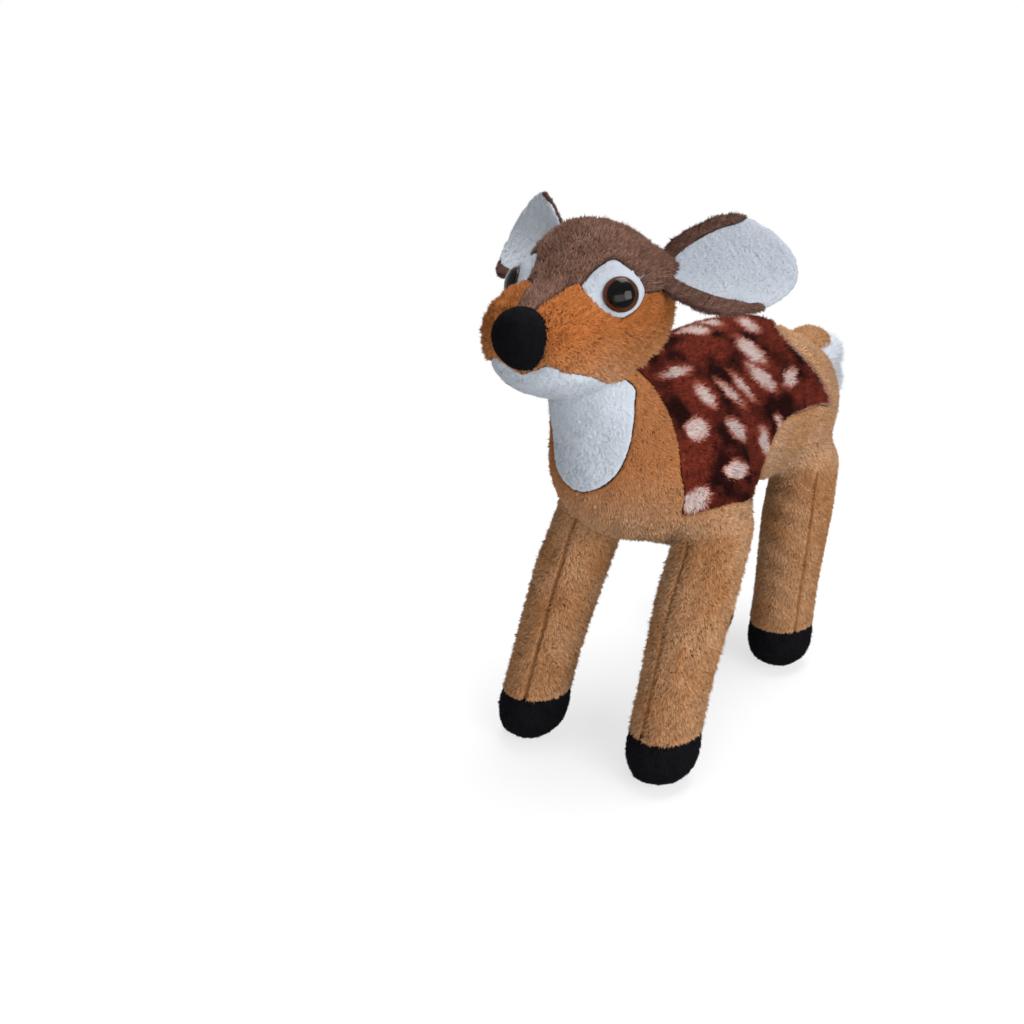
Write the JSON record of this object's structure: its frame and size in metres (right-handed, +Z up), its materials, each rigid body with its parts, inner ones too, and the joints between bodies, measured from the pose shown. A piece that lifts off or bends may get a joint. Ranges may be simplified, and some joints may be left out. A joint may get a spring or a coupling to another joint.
{
  "type": "plush deer",
  "caption": "Standing soft toy fawn with stuffed body, turning head, folding leaf ears, swinging legs and tail, domed plastic eyes and a printed spotted back.",
  "frame": {"origin": "on the ground under the middle of the whole fawn, ears and tail counted", "axes": "+Z up, the fawn looks along -Y, and its left side is at +X"},
  "size_m": [0.1724, 0.29, 0.2851],
  "materials": {
    "tan_plush": "short pile plush, matt",
    "brown_plush": "short pile plush, matt",
    "white_plush": "short pile plush, matt",
    "saddle_plush": "short pile plush, printed with pale spots, matt",
    "black_plush": "short pile plush, matt",
    "eye_dome": "clear, polished",
    "eye_ring": "brown, satin, seen through the dome",
    "eye_black": "black, glossy",
    "washer_plastic": "natural white, matt, hidden",
    "stuffing": "loose polyester fibre, hidden"
  },
  "bodies": {
    "torso": {"torso_cover": "tan_plush", "saddle_panel": "saddle_plush", "bib_panel": "white_plush", "torso_stuffing": "stuffing"},
    "head": {"crown_panel": "brown_plush", "chin_panel": "white_plush", "cheek_left": "tan_plush", "cheek_right": "tan_plush", "eye_patch_left": "white_plush", "eye_patch_right": "white_plush", "nose": "black_plush", "head_stuffing": "stuffing", "eye_back_left": "eye_black", "eye_iris_left": "eye_ring", "eye_dome_left": "eye_dome", "eye_washer_left": "washer_plastic", "eye_back_right": "eye_black", "eye_iris_right": "eye_ring", "eye_dome_right": "eye_dome", "eye_washer_right": "washer_plastic"},
    "ear_left": {"ear_back_left": "brown_plush", "ear_lining_left": "white_plush"},
    "ear_right": {"ear_back_right": "brown_plush", "ear_lining_right": "white_plush"},
    "leg_front_left": {"leg_cover_front_left": "tan_plush", "hoof_front_left": "black_plush", "sole_front_left": "black_plush", "leg_stuffing_front_left": "stuffing"},
    "leg_front_right": {"leg_cover_front_right": "tan_plush", "hoof_front_right": "black_plush", "sole_front_right": "black_plush", "leg_stuffing_front_right": "stuffing"},
    "leg_rear_left": {"leg_cover_rear_left": "tan_plush", "hoof_rear_left": "black_plush", "sole_rear_left": "black_plush", "leg_stuffing_rear_left": "stuffing"},
    "leg_rear_right": {"leg_cover_rear_right": "tan_plush", "hoof_rear_right": "black_plush", "sole_rear_right": "black_plush", "leg_stuffing_rear_right": "stuffing"},
    "tail": {"tail_top": "tan_plush", "tail_underside": "white_plush"}
  },
  "joints": [
    {"name": "head_turn", "type": "hinge", "parent": "torso", "child": "head", "pos_m": [-0.00084, -0.07699, 0.212], "axis": [0, 0, 1], "range_deg": [-20, 20], "stiffness_Nm_per_rad": 0.4},
    {"name": "ear_left_fold", "type": "hinge", "parent": "head", "child": "ear_left", "pos_m": [0.02927, -0.06555, 0.25653], "axis": [-0.1534, 0.5081, 0.8475], "range_deg": [-25, 25], "stiffness_Nm_per_rad": 0.12},
    {"name": "ear_right_fold", "type": "hinge", "parent": "head", "child": "ear_right", "pos_m": [-0.03095, -0.06555, 0.25653], "axis": [-0.3234, -0.4361, -0.8398], "range_deg": [-25, 25], "stiffness_Nm_per_rad": 0.12},
    {"name": "hip_front_left_swing", "type": "hinge", "parent": "torso", "child": "leg_front_left", "pos_m": [0.04216, -0.04499, 0.124], "axis": [1, 0, 0], "range_deg": [-20, 20], "stiffness_Nm_per_rad": 2},
    {"name": "hip_front_right_swing", "type": "hinge", "parent": "torso", "child": "leg_front_right", "pos_m": [-0.03584, -0.04499, 0.124], "axis": [1, 0, 0], "range_deg": [-20, 20], "stiffness_Nm_per_rad": 2},
    {"name": "hip_rear_left_swing", "type": "hinge", "parent": "torso", "child": "leg_rear_left", "pos_m": [0.03016, 0.06901, 0.122], "axis": [1, 0, 0], "range_deg": [-20, 20], "stiffness_Nm_per_rad": 2},
    {"name": "hip_rear_right_swing", "type": "hinge", "parent": "torso", "child": "leg_rear_right", "pos_m": [-0.02384, 0.06901, 0.122], "axis": [1, 0, 0], "range_deg": [-20, 20], "stiffness_Nm_per_rad": 2},
    {"name": "tail_swing", "type": "hinge", "parent": "torso", "child": "tail", "pos_m": [-0.00084, 0.09901, 0.169], "axis": [1, 0, 0], "range_deg": [-20, 25], "stiffness_Nm_per_rad": 0.3}
  ]
}
